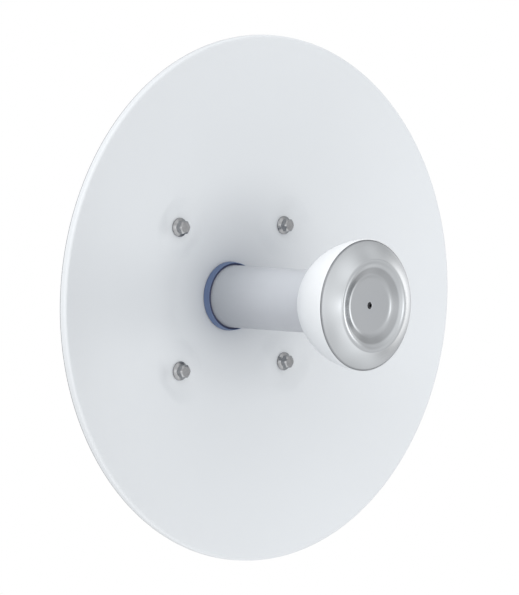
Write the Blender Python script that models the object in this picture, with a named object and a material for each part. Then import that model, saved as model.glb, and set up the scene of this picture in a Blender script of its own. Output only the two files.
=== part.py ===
"""Dish antenna with a feed tube, a sub-reflector, a rear housing and a tilting mast bracket.

Metres, +Z up. The dish faces -Y, and the origin is on the flat back of the mast bracket's web.
A depth is a distance behind the plane of the dish's rim, so pieces in front of the rim have negative depths.
"""

from math import cos, pi, radians, sin, sqrt

import bmesh
import bpy
from mathutils import Matrix, Vector

GAP = 0.0003
MERGE = 0.000001

# The dish
RIM_Y = -0.165
RIM_RADIUS = 0.210
FOUR_FOCAL_LENGTHS = 0.712
CENTRE_DEPTH = 0.0572
CENTRE_BLEND = 0.0008
SHEET = 0.0015
LIP_DEPTH = 0.0065
LIP_FLARE = 0.0008
LIP_CORNER = 0.0022
DISH_SEGMENTS = 64
DISH_ROWS = 12

# The four flange bolts, on a square
BOLT_OFFSET = 0.0577
SEAT_DEPTH = 0.0526
SEAT_RADIUS = 0.0110
SEAT_BLEND_RADIUS = 0.0170
FLANGE_RADIUS = 0.0077
FLANGE_EDGE = 0.0011
HEAD_HEIGHT = 0.0072
CORNERS = {
    "top_left": (-1, 1),
    "top_right": (1, 1),
    "bottom_left": (-1, -1),
    "bottom_right": (1, -1),
}
SIDES = {"left": -1, "right": 1}

# Metric fixings: shank radius, apothem of the hexagon, and height of a nut
M6 = (0.0030, 0.0050, 0.0052)
M8 = (0.0040, 0.0065, 0.0065)
HOLE_CLEARANCE = 0.0005
FIXING_SIDES = 12

# The feed
ROUND_SEGMENTS = 48
TUBE_FOOT_RADIUS = 0.0258
TUBE_HEAD_RADIUS = 0.0246
TUBE_FOOT_DEPTH = 0.0660
COLLAR_FOOT_RADIUS = 0.0285
COLLAR_CREST_RADIUS = 0.0269
COLLAR_HEIGHT = 0.0070
BOWL_RADIUS = 0.0507
BOWL_ARC_RADIUS = 0.0660
BOWL_ARC_DEPTH = -0.1020
BOWL_MOUTH_DEPTH = -0.0985
BOWL_STEPS = 10

# The sub-reflector, a disc at the bowl's mouth
DISC_RADIUS = 0.0499
DISC_EDGE_DEPTH = -0.0996
DISC_BACK_DEPTH = -0.0955
FLANK_POWER = 1.78
FLANK_STEPS = 5
RIDGE_RADIUS = 0.0342
RIDGE_HEIGHT = 0.0088
RIDGE_ROUNDING = 0.0026
RECESS_RADIUS = 0.0212
RECESS_HEIGHT = 0.0026
RECESS_ROUNDING = 0.0050
SCREW_RADIUS = 0.0027
SCREW_HEIGHT = 0.0010

# The rear housing
HUB_RADIUS = 0.050
HUB_FRONT_DEPTH = 0.0590
HUB_BACK_DEPTH = 0.1040
HUB_EDGE = 0.004
COVER_RADIUS = 0.0465
COVER_HEIGHT = 0.007
GLAND_DEPTH = 0.0840
GLAND_RADIUS = 0.0100
GLAND_BORE = 0.0042

# The bent steel frame and bracket
PLATE = 0.003
BEND = 0.005
FRAME_DEPTH = 0.0590
FRAME_HALF_WIDTH = 0.068
FRAME_HALF_HEIGHT = 0.070
FRAME_CORNER = 0.010
FRAME_HOLE = 0.0525
FOOT_RADIUS = 0.0085
CHEEK_HALF_HEIGHT = 0.050
CHEEK_END_HALF_HEIGHT = 0.031
CHEEK_TAPER_DEPTH = 0.096
CHEEK_END_DEPTH = 0.146
PIVOT_DEPTH = 0.124
PIVOT_Z = 0.016
LOCK_RADIUS = 0.035
LOCK_SWING = radians(20)
BRACKET_EAR_DEPTH = 0.109
BRACKET_HALF_HEIGHT = 0.040
EAR_HALF_HEIGHT = 0.030
SADDLE_HALF_WIDTH = 0.034
SADDLE_REACH = 0.016
MAST_RADIUS = 0.025
JAW_HALF_WIDTH = 0.047
JAW_HALF_HEIGHT = 0.030
CLAMP_BOLT_X = 0.037
CLAMP_BOLT_Z = 0.017


def clear_scene():
    for thing in list(bpy.data.objects):
        bpy.data.objects.remove(thing, do_unlink=True)


def finish(name, colour, roughness, metallic=0.0):
    made = bpy.data.materials.new(name)
    made.use_nodes = True
    shader = made.node_tree.nodes["Principled BSDF"]
    shader.inputs["Base Color"].default_value = (*colour, 1.0)
    shader.inputs["Roughness"].default_value = roughness
    shader.inputs["Metallic"].default_value = metallic
    return made


def placed(name, shape, material, smooth_angle=30):
    """Turns a bmesh into a scene object with its material, round faces shaded smooth."""
    mesh = bpy.data.meshes.new(name)
    shape.to_mesh(mesh)
    shape.free()
    mesh.materials.append(material)
    mesh.shade_smooth()
    mesh.set_sharp_from_angle(angle=radians(smooth_angle))
    thing = bpy.data.objects.new(name, mesh)
    bpy.context.collection.objects.link(thing)
    return thing


def combined(target, tool, operation):
    """Adds a Boolean that joins or cuts target with tool, and hides tool as a working shape."""
    tool.hide_render = True
    tool.display_type = "WIRE"
    boolean = target.modifiers.new(tool.name, "BOOLEAN")
    boolean.operation = operation
    boolean.object = tool
    boolean.solver = "EXACT"


def turned_shape(profile, segments, is_ring=False):
    """Spins a profile of (radius, depth) points about the antenna's axis."""
    shape = bmesh.new()
    points = [shape.verts.new((radius, RIM_Y + depth, 0.0)) for radius, depth in profile]
    lines = [shape.edges.new(pair) for pair in zip(points, points[1:])]
    if is_ring:
        lines.append(shape.edges.new((points[-1], points[0])))
    bmesh.ops.spin(
        shape, geom=points + lines, cent=(0, 0, 0), axis=(0, 1, 0), angle=2 * pi, steps=segments, use_merge=True
    )
    bmesh.ops.remove_doubles(shape, verts=shape.verts, dist=MERGE)
    bmesh.ops.recalc_face_normals(shape, faces=shape.faces)
    return shape


def turned(name, profile, material, is_ring=False, segments=ROUND_SEGMENTS):
    return placed(name, turned_shape(profile, segments, is_ring), material)


def arc(centre_radius, centre_depth, radius, start, end, steps):
    """Points (radius, depth) on an arc; angle 0 points outwards and 90 degrees points to the front."""
    turns = [start + (end - start) * step / steps for step in range(steps + 1)]
    return [(centre_radius + radius * cos(turn), centre_depth - radius * sin(turn)) for turn in turns]


def stacked(name, rings, material, place, is_ring=False):
    """Bridges rings of (outline, size, height) along local Z: a round or hexagon fixing in one closed piece."""
    shape = bmesh.new()
    loops = []
    for outline, size, height in rings:
        loop = []
        for side in range(FIXING_SIDES):
            turn = 2 * pi * side / FIXING_SIDES
            reach = size
            if outline == "hexagon":
                reach = size / cos(turn % (pi / 3) - pi / 6)
            loop.append(shape.verts.new((reach * cos(turn), reach * sin(turn), height)))
        loops.append(loop)
    pairs = list(zip(loops, loops[1:]))
    if is_ring:
        pairs.append((loops[-1], loops[0]))
    for lower, upper in pairs:
        for side in range(FIXING_SIDES):
            following = (side + 1) % FIXING_SIDES
            shape.faces.new((lower[side], lower[following], upper[following], upper[side]))
    if not is_ring:
        shape.faces.new(loops[0])
        shape.faces.new(loops[-1])
    bmesh.ops.recalc_face_normals(shape, faces=shape.faces)
    shape.transform(place)
    return placed(name, shape, material)


def facing(direction, point):
    """A matrix that turns local Z to direction and moves the local origin to point."""
    return Matrix.Translation(point) @ Vector(direction).to_track_quat("Z", "Y").to_matrix().to_4x4()


def extruded(outline, axis, low, high):
    """A bmesh prism: a closed outline of two coordinates, drawn out along axis from low to high."""
    shape = bmesh.new()
    ends = []
    for level in (low, high):
        corners = []
        for first, second in outline:
            spot = [first, second]
            spot.insert(axis, level)
            corners.append(shape.verts.new(spot))
        ends.append(corners)
    shape.faces.new(ends[0])
    shape.faces.new(ends[1])
    count = len(outline)
    for index in range(count):
        following = (index + 1) % count
        shape.faces.new((ends[0][index], ends[0][following], ends[1][following], ends[1][index]))
    bmesh.ops.recalc_face_normals(shape, faces=shape.faces)
    return shape


def round_rod(point, direction, radius, length, sides=16):
    """A bmesh cylinder that starts at point and runs along direction."""
    shape = bmesh.new()
    bmesh.ops.create_cone(
        shape, cap_ends=True, segments=sides, radius1=radius, radius2=radius, depth=length,
        matrix=facing(direction, point) @ Matrix.Translation((0, 0, length / 2)),
    )
    return shape


def gathered(shapes):
    """Puts several closed shapes that don't touch into one bmesh."""
    whole = bmesh.new()
    for shape in shapes:
        mesh = bpy.data.meshes.new("piece")
        shape.to_mesh(mesh)
        shape.free()
        whole.from_mesh(mesh)
        bpy.data.meshes.remove(mesh)
    return whole


def sheet_depth(radius):
    """Depth of the dish's front face: a paraboloid that runs smoothly into a flat centre."""
    bowl = (RIM_RADIUS**2 - radius**2) / FOUR_FOCAL_LENGTHS
    return (bowl + CENTRE_DEPTH - sqrt((bowl - CENTRE_DEPTH) ** 2 + CENTRE_BLEND**2)) / 2


def seated_depth(x, z):
    """Depth of the dish's front face at a point, with a flat seat pressed in under each bolt."""
    depth = sheet_depth(sqrt(x * x + z * z))
    away = sqrt((abs(x) - BOLT_OFFSET) ** 2 + (abs(z) - BOLT_OFFSET) ** 2)
    share = min(max((away - SEAT_RADIUS) / (SEAT_BLEND_RADIUS - SEAT_RADIUS), 0.0), 1.0)
    share = share * share * (3 - 2 * share)
    return SEAT_DEPTH + (depth - SEAT_DEPTH) * share


def reflector(material):
    hole = TUBE_FOOT_RADIUS + 0.0008
    face_edge = RIM_RADIUS - LIP_CORNER
    rows = [hole + (face_edge - hole) * row / DISH_ROWS for row in range(DISH_ROWS + 1)]
    profile = [(radius, sheet_depth(radius)) for radius in rows]
    profile += [
        (RIM_RADIUS - LIP_CORNER * 0.45, LIP_CORNER * 0.30),
        (RIM_RADIUS - LIP_CORNER * 0.05, LIP_CORNER * 0.32),
        (RIM_RADIUS + LIP_FLARE * 0.30, LIP_CORNER * 0.85),
        (RIM_RADIUS + LIP_FLARE, LIP_DEPTH),
    ]
    skin = turned_shape(profile, DISH_SEGMENTS)

    near_seats = [
        edge for edge in skin.edges
        if any((abs(v.co.x) - BOLT_OFFSET) ** 2 + (abs(v.co.z) - BOLT_OFFSET) ** 2 < 0.020**2 for v in edge.verts)
    ]
    bmesh.ops.subdivide_edges(skin, edges=near_seats, cuts=2, use_grid_fill=True)
    for vert in skin.verts:
        if sqrt(vert.co.x**2 + vert.co.z**2) < face_edge - MERGE:
            vert.co.y = RIM_Y + seated_depth(vert.co.x, vert.co.z)
    skin.normal_update()
    skin.faces.ensure_lookup_table()
    if skin.faces[0].normal.y > 0:
        bmesh.ops.reverse_faces(skin, faces=skin.faces)

    dish = placed("reflector", skin, material)
    thickness = dish.modifiers.new("sheet", "SOLIDIFY")
    thickness.thickness = SHEET
    thickness.offset = -1
    thickness.use_even_offset = True
    holes = [
        round_rod((across * BOLT_OFFSET, RIM_Y, up * BOLT_OFFSET), (0, 1, 0), M6[0] + HOLE_CLEARANCE, 0.08, 12)
        for across, up in CORNERS.values()
    ]
    combined(dish, placed("reflector_holes", gathered(holes), material), "DIFFERENCE")
    return dish


def flange_bolts(steel):
    """Bolts through the seats, from the front, each with its nut behind the frame."""
    shank, apothem, nut_height = M6
    nut_depth = FRAME_DEPTH + PLATE + GAP
    for corner, (across, up) in CORNERS.items():
        face = (across * BOLT_OFFSET, RIM_Y + SEAT_DEPTH - GAP, up * BOLT_OFFSET)
        reach = SEAT_DEPTH - GAP - nut_depth - nut_height - 0.003
        stacked(
            "bolt_" + corner,
            [
                ("round", shank, reach),
                ("round", shank, 0.0),
                ("round", FLANGE_RADIUS, 0.0),
                ("round", FLANGE_RADIUS, FLANGE_EDGE),
                ("round", apothem * 1.12, FLANGE_EDGE * 2),
                ("hexagon", apothem, FLANGE_EDGE * 2.2),
                ("hexagon", apothem, HEAD_HEIGHT - 0.0007),
                ("round", apothem * 0.93, HEAD_HEIGHT),
            ],
            steel,
            facing((0, -1, 0), face),
        )
        hex_nut("nut_" + corner, M6, (face[0], RIM_Y + nut_depth, face[2]), (0, 1, 0), steel)


def hex_nut(name, size, point, direction, steel):
    shank, apothem, height = size
    bore = shank + HOLE_CLEARANCE
    rings = [
        ("round", bore, 0.0),
        ("round", apothem * 1.3, 0.0),
        ("round", apothem * 1.3, height * 0.16),
        ("hexagon", apothem, height * 0.3),
        ("hexagon", apothem, height * 0.9),
        ("round", apothem * 0.93, height),
        ("round", bore, height),
    ]
    stacked(name, rings, steel, facing(direction, point), is_ring=True)


def hex_bolt(name, size, point, direction, length, steel):
    """A bolt whose head sits on point, with its head towards direction and its shank the other way."""
    shank, apothem, height = size
    rings = [
        ("round", shank, -length),
        ("round", shank, 0.0),
        ("round", apothem * 1.35, 0.0),
        ("round", apothem * 1.35, height * 0.2),
        ("hexagon", apothem, height * 0.25),
        ("hexagon", apothem, height * 0.85),
        ("round", apothem * 0.93, height),
    ]
    stacked(name, rings, steel, facing(direction, point))


def bowl_radius(depth):
    """Radius of the radome's outside: an arc that is almost at its widest at the bowl's mouth."""
    return BOWL_RADIUS - BOWL_ARC_RADIUS + sqrt(BOWL_ARC_RADIUS**2 - (depth - BOWL_ARC_DEPTH) ** 2)


def feed(white, blue, metal, dark):
    collar_bore = TUBE_FOOT_RADIUS + GAP
    collar_foot = CENTRE_DEPTH - GAP - 0.0001
    collar_face = collar_foot - COLLAR_HEIGHT
    turned(
        "feed_collar",
        [
            (collar_bore, collar_foot),
            (COLLAR_FOOT_RADIUS, collar_foot),
            (COLLAR_FOOT_RADIUS, collar_foot - 0.0010),
            (COLLAR_FOOT_RADIUS - 0.0003, collar_foot - 0.0022),
            (COLLAR_CREST_RADIUS + 0.0003, collar_face + 0.0006),
            (COLLAR_CREST_RADIUS, collar_face),
            (COLLAR_CREST_RADIUS - 0.0003, collar_face + 0.0001),
            (collar_bore, collar_face + 0.0011),
        ],
        blue,
        is_ring=True,
    )

    neck_arc = BOWL_ARC_RADIUS + TUBE_HEAD_RADIUS - BOWL_RADIUS
    neck_depth = BOWL_ARC_DEPTH + sqrt(BOWL_ARC_RADIUS**2 - neck_arc**2)
    turned(
        "feed_tube",
        [
            (0.0, neck_depth + GAP),
            (TUBE_HEAD_RADIUS, neck_depth + GAP),
            (TUBE_FOOT_RADIUS, CENTRE_DEPTH),
            (TUBE_FOOT_RADIUS, TUBE_FOOT_DEPTH),
            (0.0, TUBE_FOOT_DEPTH),
        ],
        white,
    )

    depths = [neck_depth + (BOWL_MOUTH_DEPTH - neck_depth) * step / BOWL_STEPS for step in range(BOWL_STEPS + 1)]
    outside = [(bowl_radius(depth), depth) for depth in depths]
    lip = bowl_radius(BOWL_MOUTH_DEPTH) - 0.0002
    seat = DISC_RADIUS + GAP
    turned(
        "radome",
        [(0.0, neck_depth)]
        + outside
        + [
            (lip, BOWL_MOUTH_DEPTH - 0.0006),
            (seat, BOWL_MOUTH_DEPTH - 0.0006),
            (seat, DISC_BACK_DEPTH + GAP),
            (0.0, DISC_BACK_DEPTH + GAP),
        ],
        white,
    )

    ridge_depth = DISC_EDGE_DEPTH - RIDGE_HEIGHT
    floor_depth = DISC_EDGE_DEPTH - RECESS_HEIGHT
    ridge = arc(RIDGE_RADIUS, ridge_depth + RIDGE_ROUNDING, RIDGE_ROUNDING, radians(45), radians(118), 4)
    floor = arc(RECESS_RADIUS, floor_depth - RECESS_ROUNDING, RECESS_ROUNDING, radians(-62), radians(-90), 3)
    edge_radius = DISC_RADIUS - 0.0006
    flank = []
    for step in range(FLANK_STEPS):
        share = step / FLANK_STEPS
        height = (DISC_EDGE_DEPTH - 0.0002 - ridge[0][1]) * share**FLANK_POWER
        flank.append((edge_radius + (ridge[0][0] - edge_radius) * share, DISC_EDGE_DEPTH - 0.0002 - height))
    screw_bore = SCREW_RADIUS + GAP
    turned(
        "sub_reflector",
        [
            (0.0, DISC_BACK_DEPTH),
            (DISC_RADIUS - 0.0004, DISC_BACK_DEPTH),
            (DISC_RADIUS, DISC_BACK_DEPTH - 0.0004),
            (DISC_RADIUS, DISC_EDGE_DEPTH + 0.0004),
        ]
        + flank
        + ridge
        + floor
        + [(screw_bore, floor_depth), (screw_bore, floor_depth + 0.0050), (0.0, floor_depth + 0.0050)],
        metal,
    )
    screw_face = (0, RIM_Y + floor_depth - SCREW_HEIGHT, 0)
    screw_foot = -SCREW_HEIGHT - 0.0050 + GAP
    stacked(
        "centre_screw",
        [
            ("round", SCREW_RADIUS, screw_foot),
            ("round", SCREW_RADIUS, -0.0004),
            ("round", SCREW_RADIUS - 0.0004, 0.0),
            ("hexagon", 0.0011, 0.0),
            ("hexagon", 0.0011, -0.0010),
        ],
        dark,
        facing((0, -1, 0), screw_face),
    )


def housing(white, grey, black):
    """Round housing behind the dish, its cover, and the cable gland under it."""
    socket = TUBE_FOOT_RADIUS + GAP
    corner = arc(HUB_RADIUS - HUB_EDGE, HUB_BACK_DEPTH - HUB_EDGE, HUB_EDGE, 0.0, radians(-90), 4)
    hub = turned(
        "hub_housing",
        [
            (0.0, TUBE_FOOT_DEPTH + GAP),
            (socket, TUBE_FOOT_DEPTH + GAP),
            (socket, HUB_FRONT_DEPTH),
            (HUB_RADIUS - 0.001, HUB_FRONT_DEPTH),
            (HUB_RADIUS, HUB_FRONT_DEPTH + 0.001),
        ]
        + corner
        + [(0.0, HUB_BACK_DEPTH)],
        white,
    )
    turned(
        "hub_cover",
        [
            (0.0, HUB_BACK_DEPTH + GAP),
            (COVER_RADIUS - 0.0015, HUB_BACK_DEPTH + GAP),
            (COVER_RADIUS - 0.0008, HUB_BACK_DEPTH + COVER_HEIGHT * 0.4),
            (COVER_RADIUS - 0.0030, HUB_BACK_DEPTH + COVER_HEIGHT * 0.8),
            (COVER_RADIUS - 0.0070, HUB_BACK_DEPTH + COVER_HEIGHT),
            (0.0, HUB_BACK_DEPTH + COVER_HEIGHT),
        ],
        grey,
    )

    boss_low = -HUB_RADIUS - 0.004
    boss = round_rod((0, RIM_Y + GLAND_DEPTH, boss_low), (0, 0, 1), GLAND_RADIUS + 0.003, 0.03, 24)
    combined(hub, placed("gland_boss", boss, white), "UNION")
    gland_top = boss_low - GAP
    stacked(
        "cable_gland",
        [
            ("round", GLAND_BORE, 0.0),
            ("round", GLAND_RADIUS * 0.95, 0.0),
            ("hexagon", GLAND_RADIUS * 0.95, -0.0010),
            ("hexagon", GLAND_RADIUS * 0.95, -0.0060),
            ("round", GLAND_RADIUS * 0.80, -0.0070),
            ("round", GLAND_RADIUS * 0.80, -0.0090),
            ("round", GLAND_BORE, -0.0090),
        ],
        black,
        Matrix.Translation((0, RIM_Y + GLAND_DEPTH, gland_top)),
        is_ring=True,
    )
    stacked(
        "gland_cap",
        [
            ("round", GLAND_BORE, -0.0090 - GAP),
            ("hexagon", GLAND_RADIUS * 0.86, -0.0090 - GAP),
            ("hexagon", GLAND_RADIUS * 0.86, -0.0160),
            ("round", GLAND_RADIUS * 0.70, -0.0190),
            ("round", GLAND_BORE, -0.0200),
        ],
        black,
        Matrix.Translation((0, RIM_Y + GLAND_DEPTH, gland_top)),
        is_ring=True,
    )


def channel(half_width, web_y, end_y):
    """Outline (x, y) of a bent channel: a web at web_y, and two legs that run to end_y."""
    towards = 1 if end_y > web_y else -1
    turns = [pi / 2 * step / 4 for step in range(5)]
    outer = [
        (half_width - BEND * (1 - sin(turn)), web_y + towards * BEND * (1 - cos(turn))) for turn in turns
    ]
    inner_bend = BEND - PLATE
    inner = [
        (half_width - PLATE - inner_bend * (1 - sin(turn)), web_y + towards * (PLATE + inner_bend * (1 - cos(turn))))
        for turn in turns
    ]
    half = outer + [(half_width, end_y), (half_width - PLATE, end_y)] + inner[::-1]
    return half + [(-x, y) for x, y in half[::-1]]


def rounded_outline(half_width, half_height, corner):
    """A rectangle about the origin with round corners."""
    points = []
    for quarter, (across, up) in enumerate(((1, 1), (-1, 1), (-1, -1), (1, -1))):
        for step in range(5):
            turn = pi / 2 * (quarter + step / 4)
            points.append(
                (across * (half_width - corner) + corner * cos(turn), up * (half_height - corner) + corner * sin(turn))
            )
    return points


def slot_outline(centre_y, centre_z, radius, half_width, swing):
    """Outline (y, z) of an arc-shaped slot that hangs below its centre."""
    straight_down = -pi / 2
    outline = []
    for reach, direction in ((radius + half_width, 1), (radius - half_width, -1)):
        for step in range(7):
            turn = straight_down + direction * swing * (step / 3 - 1)
            outline.append((centre_y + reach * cos(turn), centre_z + reach * sin(turn)))
        end = straight_down + direction * swing
        end_centre = (centre_y + radius * cos(end), centre_z + radius * sin(end))
        for step in range(1, 4):
            turn = end + (0 if direction > 0 else pi) + pi * step / 4
            outline.append((end_centre[0] + half_width * cos(turn), end_centre[1] + half_width * sin(turn)))
    return outline


def mounting_frame(steel):
    """Bent plate behind the dish, with feet under the bolt seats and a cheek on each side."""
    front = RIM_Y + FRAME_DEPTH
    back = RIM_Y + CHEEK_END_DEPTH
    frame = placed(
        "mounting_frame",
        extruded(channel(FRAME_HALF_WIDTH, front, back), 2, -CHEEK_HALF_HEIGHT, CHEEK_HALF_HEIGHT),
        steel,
    )
    outline = rounded_outline(FRAME_HALF_WIDTH - BEND, FRAME_HALF_HEIGHT, FRAME_CORNER)
    combined(frame, placed("frame_plate", extruded(outline, 1, front, front + PLATE), steel), "UNION")
    foot_y = RIM_Y + SEAT_DEPTH + SHEET + GAP
    feet = [
        round_rod((across * BOLT_OFFSET, foot_y, up * BOLT_OFFSET), (0, 1, 0), FOOT_RADIUS, front + PLATE / 2 - foot_y)
        for across, up in CORNERS.values()
    ]
    combined(frame, placed("frame_feet", gathered(feet), steel), "UNION")

    beyond = 0.01
    taper = [
        (RIM_Y + CHEEK_TAPER_DEPTH, CHEEK_HALF_HEIGHT + beyond),
        (RIM_Y + CHEEK_TAPER_DEPTH, CHEEK_HALF_HEIGHT + 0.0005),
        (back - 0.010, CHEEK_END_HALF_HEIGHT + 0.004),
        (back - 0.003, CHEEK_END_HALF_HEIGHT - 0.001),
        (back + 0.0005, CHEEK_END_HALF_HEIGHT - 0.010),
        (back + beyond, CHEEK_END_HALF_HEIGHT - 0.010),
        (back + beyond, CHEEK_HALF_HEIGHT + beyond),
    ]
    wide = FRAME_HALF_WIDTH + beyond
    above = extruded(taper, 0, -wide, wide)
    below = extruded([(y, -z) for y, z in taper[::-1]], 0, -wide, wide)
    combined(frame, placed("cheek_tapers", gathered([above, below]), steel), "DIFFERENCE")

    holes = [round_rod((0, front - beyond, 0), (0, 1, 0), FRAME_HOLE, 0.03, 40)]
    for across, up in CORNERS.values():
        holes.append(
            round_rod((across * BOLT_OFFSET, RIM_Y, up * BOLT_OFFSET), (0, 1, 0), M6[0] + HOLE_CLEARANCE, 0.08, 12)
        )
    bolt_hole = M8[0] + HOLE_CLEARANCE
    for side in SIDES.values():
        inside = side * (FRAME_HALF_WIDTH - 2 * PLATE)
        holes.append(round_rod((inside, RIM_Y + PIVOT_DEPTH, PIVOT_Z), (side, 0, 0), bolt_hole, 4 * PLATE))
        slot = slot_outline(RIM_Y + PIVOT_DEPTH, PIVOT_Z, LOCK_RADIUS, bolt_hole, LOCK_SWING)
        holes.append(extruded(slot, 0, *sorted((inside, inside + side * 4 * PLATE))))
    combined(frame, placed("frame_holes", gathered(holes), steel), "DIFFERENCE")


def saddle(web_face, towards, half_height):
    """Notched flanges at the top and bottom of a web, as two prisms.

    Their square notches are as wide as lets the mast touch both the notch and the web.
    """
    end = web_face + towards * SADDLE_REACH
    floor = web_face - towards * PLATE / 4
    root = web_face - towards * PLATE / 2
    at_web = MAST_RADIUS * (sqrt(2) - 1)
    at_floor = at_web - PLATE / 4
    mouth = at_web + SADDLE_REACH
    narrow = SADDLE_HALF_WIDTH - 0.004
    outline = [
        (-SADDLE_HALF_WIDTH, root),
        (SADDLE_HALF_WIDTH, root),
        (SADDLE_HALF_WIDTH, end - towards * 0.005),
        (narrow, end),
        (mouth, end),
        (at_floor, floor),
        (-at_floor, floor),
        (-mouth, end),
        (-narrow, end),
        (-SADDLE_HALF_WIDTH, end - towards * 0.005),
    ]
    return gathered(
        [
            extruded(outline, 2, half_height - PLATE, half_height),
            extruded(outline, 2, -half_height, -half_height + PLATE),
        ]
    )


def mast_bracket(steel):
    """Bent bracket with a flat web, two ears between the frame's cheeks and two saddles for the mast."""
    half_width = FRAME_HALF_WIDTH - PLATE - GAP
    ear_y = RIM_Y + BRACKET_EAR_DEPTH
    bracket = placed(
        "mast_bracket",
        extruded(channel(half_width, 0.0, ear_y), 2, -BRACKET_HALF_HEIGHT, BRACKET_HALF_HEIGHT),
        steel,
    )
    combined(bracket, placed("bracket_saddles", saddle(0.0, 1, BRACKET_HALF_HEIGHT), steel), "UNION")

    beyond = 0.01
    taper = [
        (-0.012, BRACKET_HALF_HEIGHT + beyond),
        (-0.012, BRACKET_HALF_HEIGHT + 0.0005),
        (-0.022, EAR_HALF_HEIGHT),
        (ear_y + 0.008, EAR_HALF_HEIGHT),
        (ear_y + 0.002, EAR_HALF_HEIGHT - 0.003),
        (ear_y - 0.0005, EAR_HALF_HEIGHT - 0.010),
        (ear_y - beyond, EAR_HALF_HEIGHT - 0.010),
        (ear_y - beyond, BRACKET_HALF_HEIGHT + beyond),
    ]
    above = extruded(taper, 0, -FRAME_HALF_WIDTH, FRAME_HALF_WIDTH)
    below = extruded([(y, -z) for y, z in taper[::-1]], 0, -FRAME_HALF_WIDTH, FRAME_HALF_WIDTH)
    combined(bracket, placed("ear_tapers", gathered([above, below]), steel), "DIFFERENCE")

    bolt_hole = M8[0] + HOLE_CLEARANCE
    holes = []
    for side in SIDES.values():
        inside = side * (half_width - 2 * PLATE)
        for height in (PIVOT_Z, PIVOT_Z - LOCK_RADIUS):
            holes.append(round_rod((inside, RIM_Y + PIVOT_DEPTH, height), (side, 0, 0), bolt_hole, 3 * PLATE))
    for across, up in CORNERS.values():
        point = (across * CLAMP_BOLT_X, -2 * PLATE, up * CLAMP_BOLT_Z)
        holes.append(round_rod(point, (0, 1, 0), bolt_hole, 3 * PLATE))
    combined(bracket, placed("bracket_holes", gathered(holes), steel), "DIFFERENCE")


def mast_clamp(steel, zinc):
    """Jaw on the far side of the mast, with the four long bolts that draw it to the bracket."""
    jaw_face = 2 * MAST_RADIUS
    jaw_back = jaw_face + PLATE
    outline = rounded_outline(JAW_HALF_WIDTH, JAW_HALF_HEIGHT, 0.005)
    jaw = placed("clamp_jaw", extruded(outline, 1, jaw_face, jaw_back), steel)
    combined(jaw, placed("jaw_saddles", saddle(jaw_face, -1, JAW_HALF_HEIGHT), steel), "UNION")
    bolt_hole = M8[0] + HOLE_CLEARANCE
    holes = [
        round_rod((across * CLAMP_BOLT_X, jaw_face - PLATE, up * CLAMP_BOLT_Z), (0, 1, 0), bolt_hole, 3 * PLATE)
        for across, up in CORNERS.values()
    ]
    combined(jaw, placed("jaw_holes", gathered(holes), steel), "DIFFERENCE")

    head_y = jaw_back + GAP
    nut_y = -PLATE - GAP
    for corner, (across, up) in CORNERS.items():
        x, z = across * CLAMP_BOLT_X, up * CLAMP_BOLT_Z
        hex_bolt("clamp_bolt_" + corner, M8, (x, head_y, z), (0, 1, 0), head_y - nut_y + M8[2] + 0.004, zinc)
        hex_nut("clamp_nut_" + corner, M8, (x, nut_y, z), (0, -1, 0), zinc)


def tilt_fixings(zinc):
    """Pivot and lock bolts through the cheeks and ears, with nuts on the inside."""
    outside = FRAME_HALF_WIDTH + GAP
    inside = FRAME_HALF_WIDTH - 2 * PLATE - 2 * GAP
    for name, height in (("pivot", PIVOT_Z), ("lock", PIVOT_Z - LOCK_RADIUS)):
        for label, side in SIDES.items():
            head = (side * outside, RIM_Y + PIVOT_DEPTH, height)
            nut = (side * inside, RIM_Y + PIVOT_DEPTH, height)
            hex_bolt(f"{name}_bolt_{label}", M8, head, (side, 0, 0), outside - inside + M8[2] + 0.002, zinc)
            hex_nut(f"{name}_nut_{label}", M8, nut, (-side, 0, 0), zinc)


def main():
    clear_scene()
    white_paint = finish("white paint", (0.86, 0.87, 0.88), 0.45)
    white_plastic = finish("white plastic", (0.84, 0.85, 0.87), 0.40)
    light_grey_plastic = finish("light grey plastic", (0.62, 0.64, 0.66), 0.50)
    blue_plastic = finish("blue plastic", (0.10, 0.15, 0.36), 0.45)
    satin_metal = finish("satin metal", (0.62, 0.64, 0.66), 0.30, 1.0)
    dark_steel = finish("dark steel", (0.10, 0.10, 0.11), 0.40, 1.0)
    zinc = finish("zinc plated steel", (0.52, 0.52, 0.50), 0.35, 1.0)
    painted_steel = finish("light grey painted steel", (0.70, 0.71, 0.72), 0.50)
    black_plastic = finish("black plastic", (0.02, 0.02, 0.02), 0.50)

    reflector(white_paint)
    flange_bolts(zinc)
    feed(white_plastic, blue_plastic, satin_metal, dark_steel)
    housing(white_plastic, light_grey_plastic, black_plastic)
    mounting_frame(painted_steel)
    mast_bracket(painted_steel)
    mast_clamp(painted_steel, zinc)
    tilt_fixings(zinc)


main()
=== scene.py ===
"""Looks of the dish antenna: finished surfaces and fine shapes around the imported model.

Metres, +Z up. The dish faces -Y. A depth is a distance behind the plane of the dish's rim. Turned pieces
are drawn by height, which counts forwards from that plane, so a height is a depth with its sign changed.
"""

from collections import namedtuple
from math import cos, pi, radians, sin, sqrt, tan

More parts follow.
